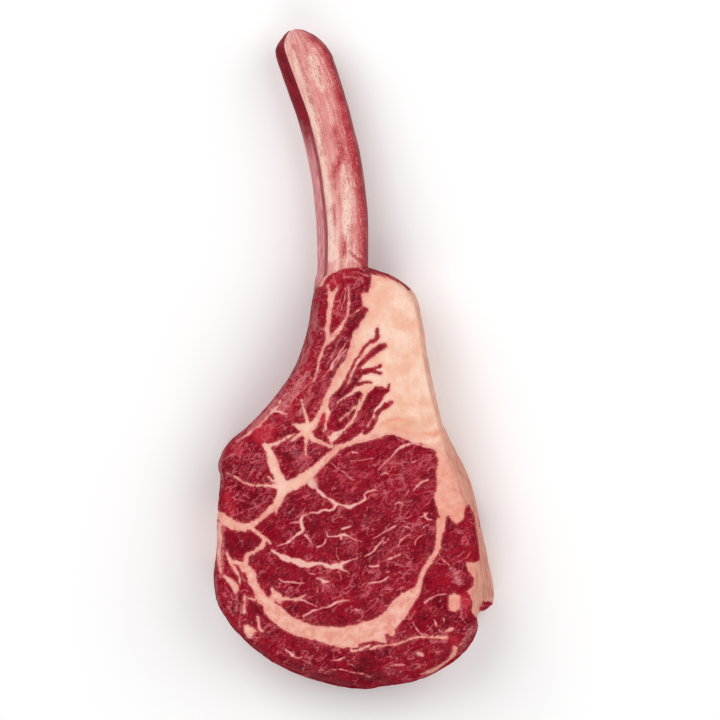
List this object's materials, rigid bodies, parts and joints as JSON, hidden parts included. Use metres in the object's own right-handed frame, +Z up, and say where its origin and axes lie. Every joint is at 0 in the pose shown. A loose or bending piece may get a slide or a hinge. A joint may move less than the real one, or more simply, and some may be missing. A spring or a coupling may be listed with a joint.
{
  "type": "tomahawk steak",
  "caption": "Raw tomahawk steak: a thick slice of rib eye with seams of fat between its muscles, on a long bare rib bone, lying on its cut face.",
  "frame": {"origin": "on the surface it lies on, below the middle of the whole steak's box", "axes": "+Y along the steak towards the bare end of the rib, +Z up through its thickness, +X towards the outer fat; the rib curves towards -X"},
  "size_m": [0.154, 0.3624, 0.046],
  "materials": {
    "lean": "raw beef muscle, deep crimson, moist, with fine pale marbling",
    "fat": "firm raw beef fat, cream to peach, slightly waxy",
    "bone": "scraped raw rib bone, pale pink with red stains, smooth and moist"
  },
  "bodies": {
    "root": {"rib_bone": "bone", "fat": "fat", "eye_muscle": "lean", "cap_muscle": "lean", "rib_side_muscle": "lean", "neck_muscle": "lean", "finger_muscle": "lean", "round_muscle": "lean", "side_muscle": "lean", "corner_muscle": "lean"}
  },
  "joints": []
}
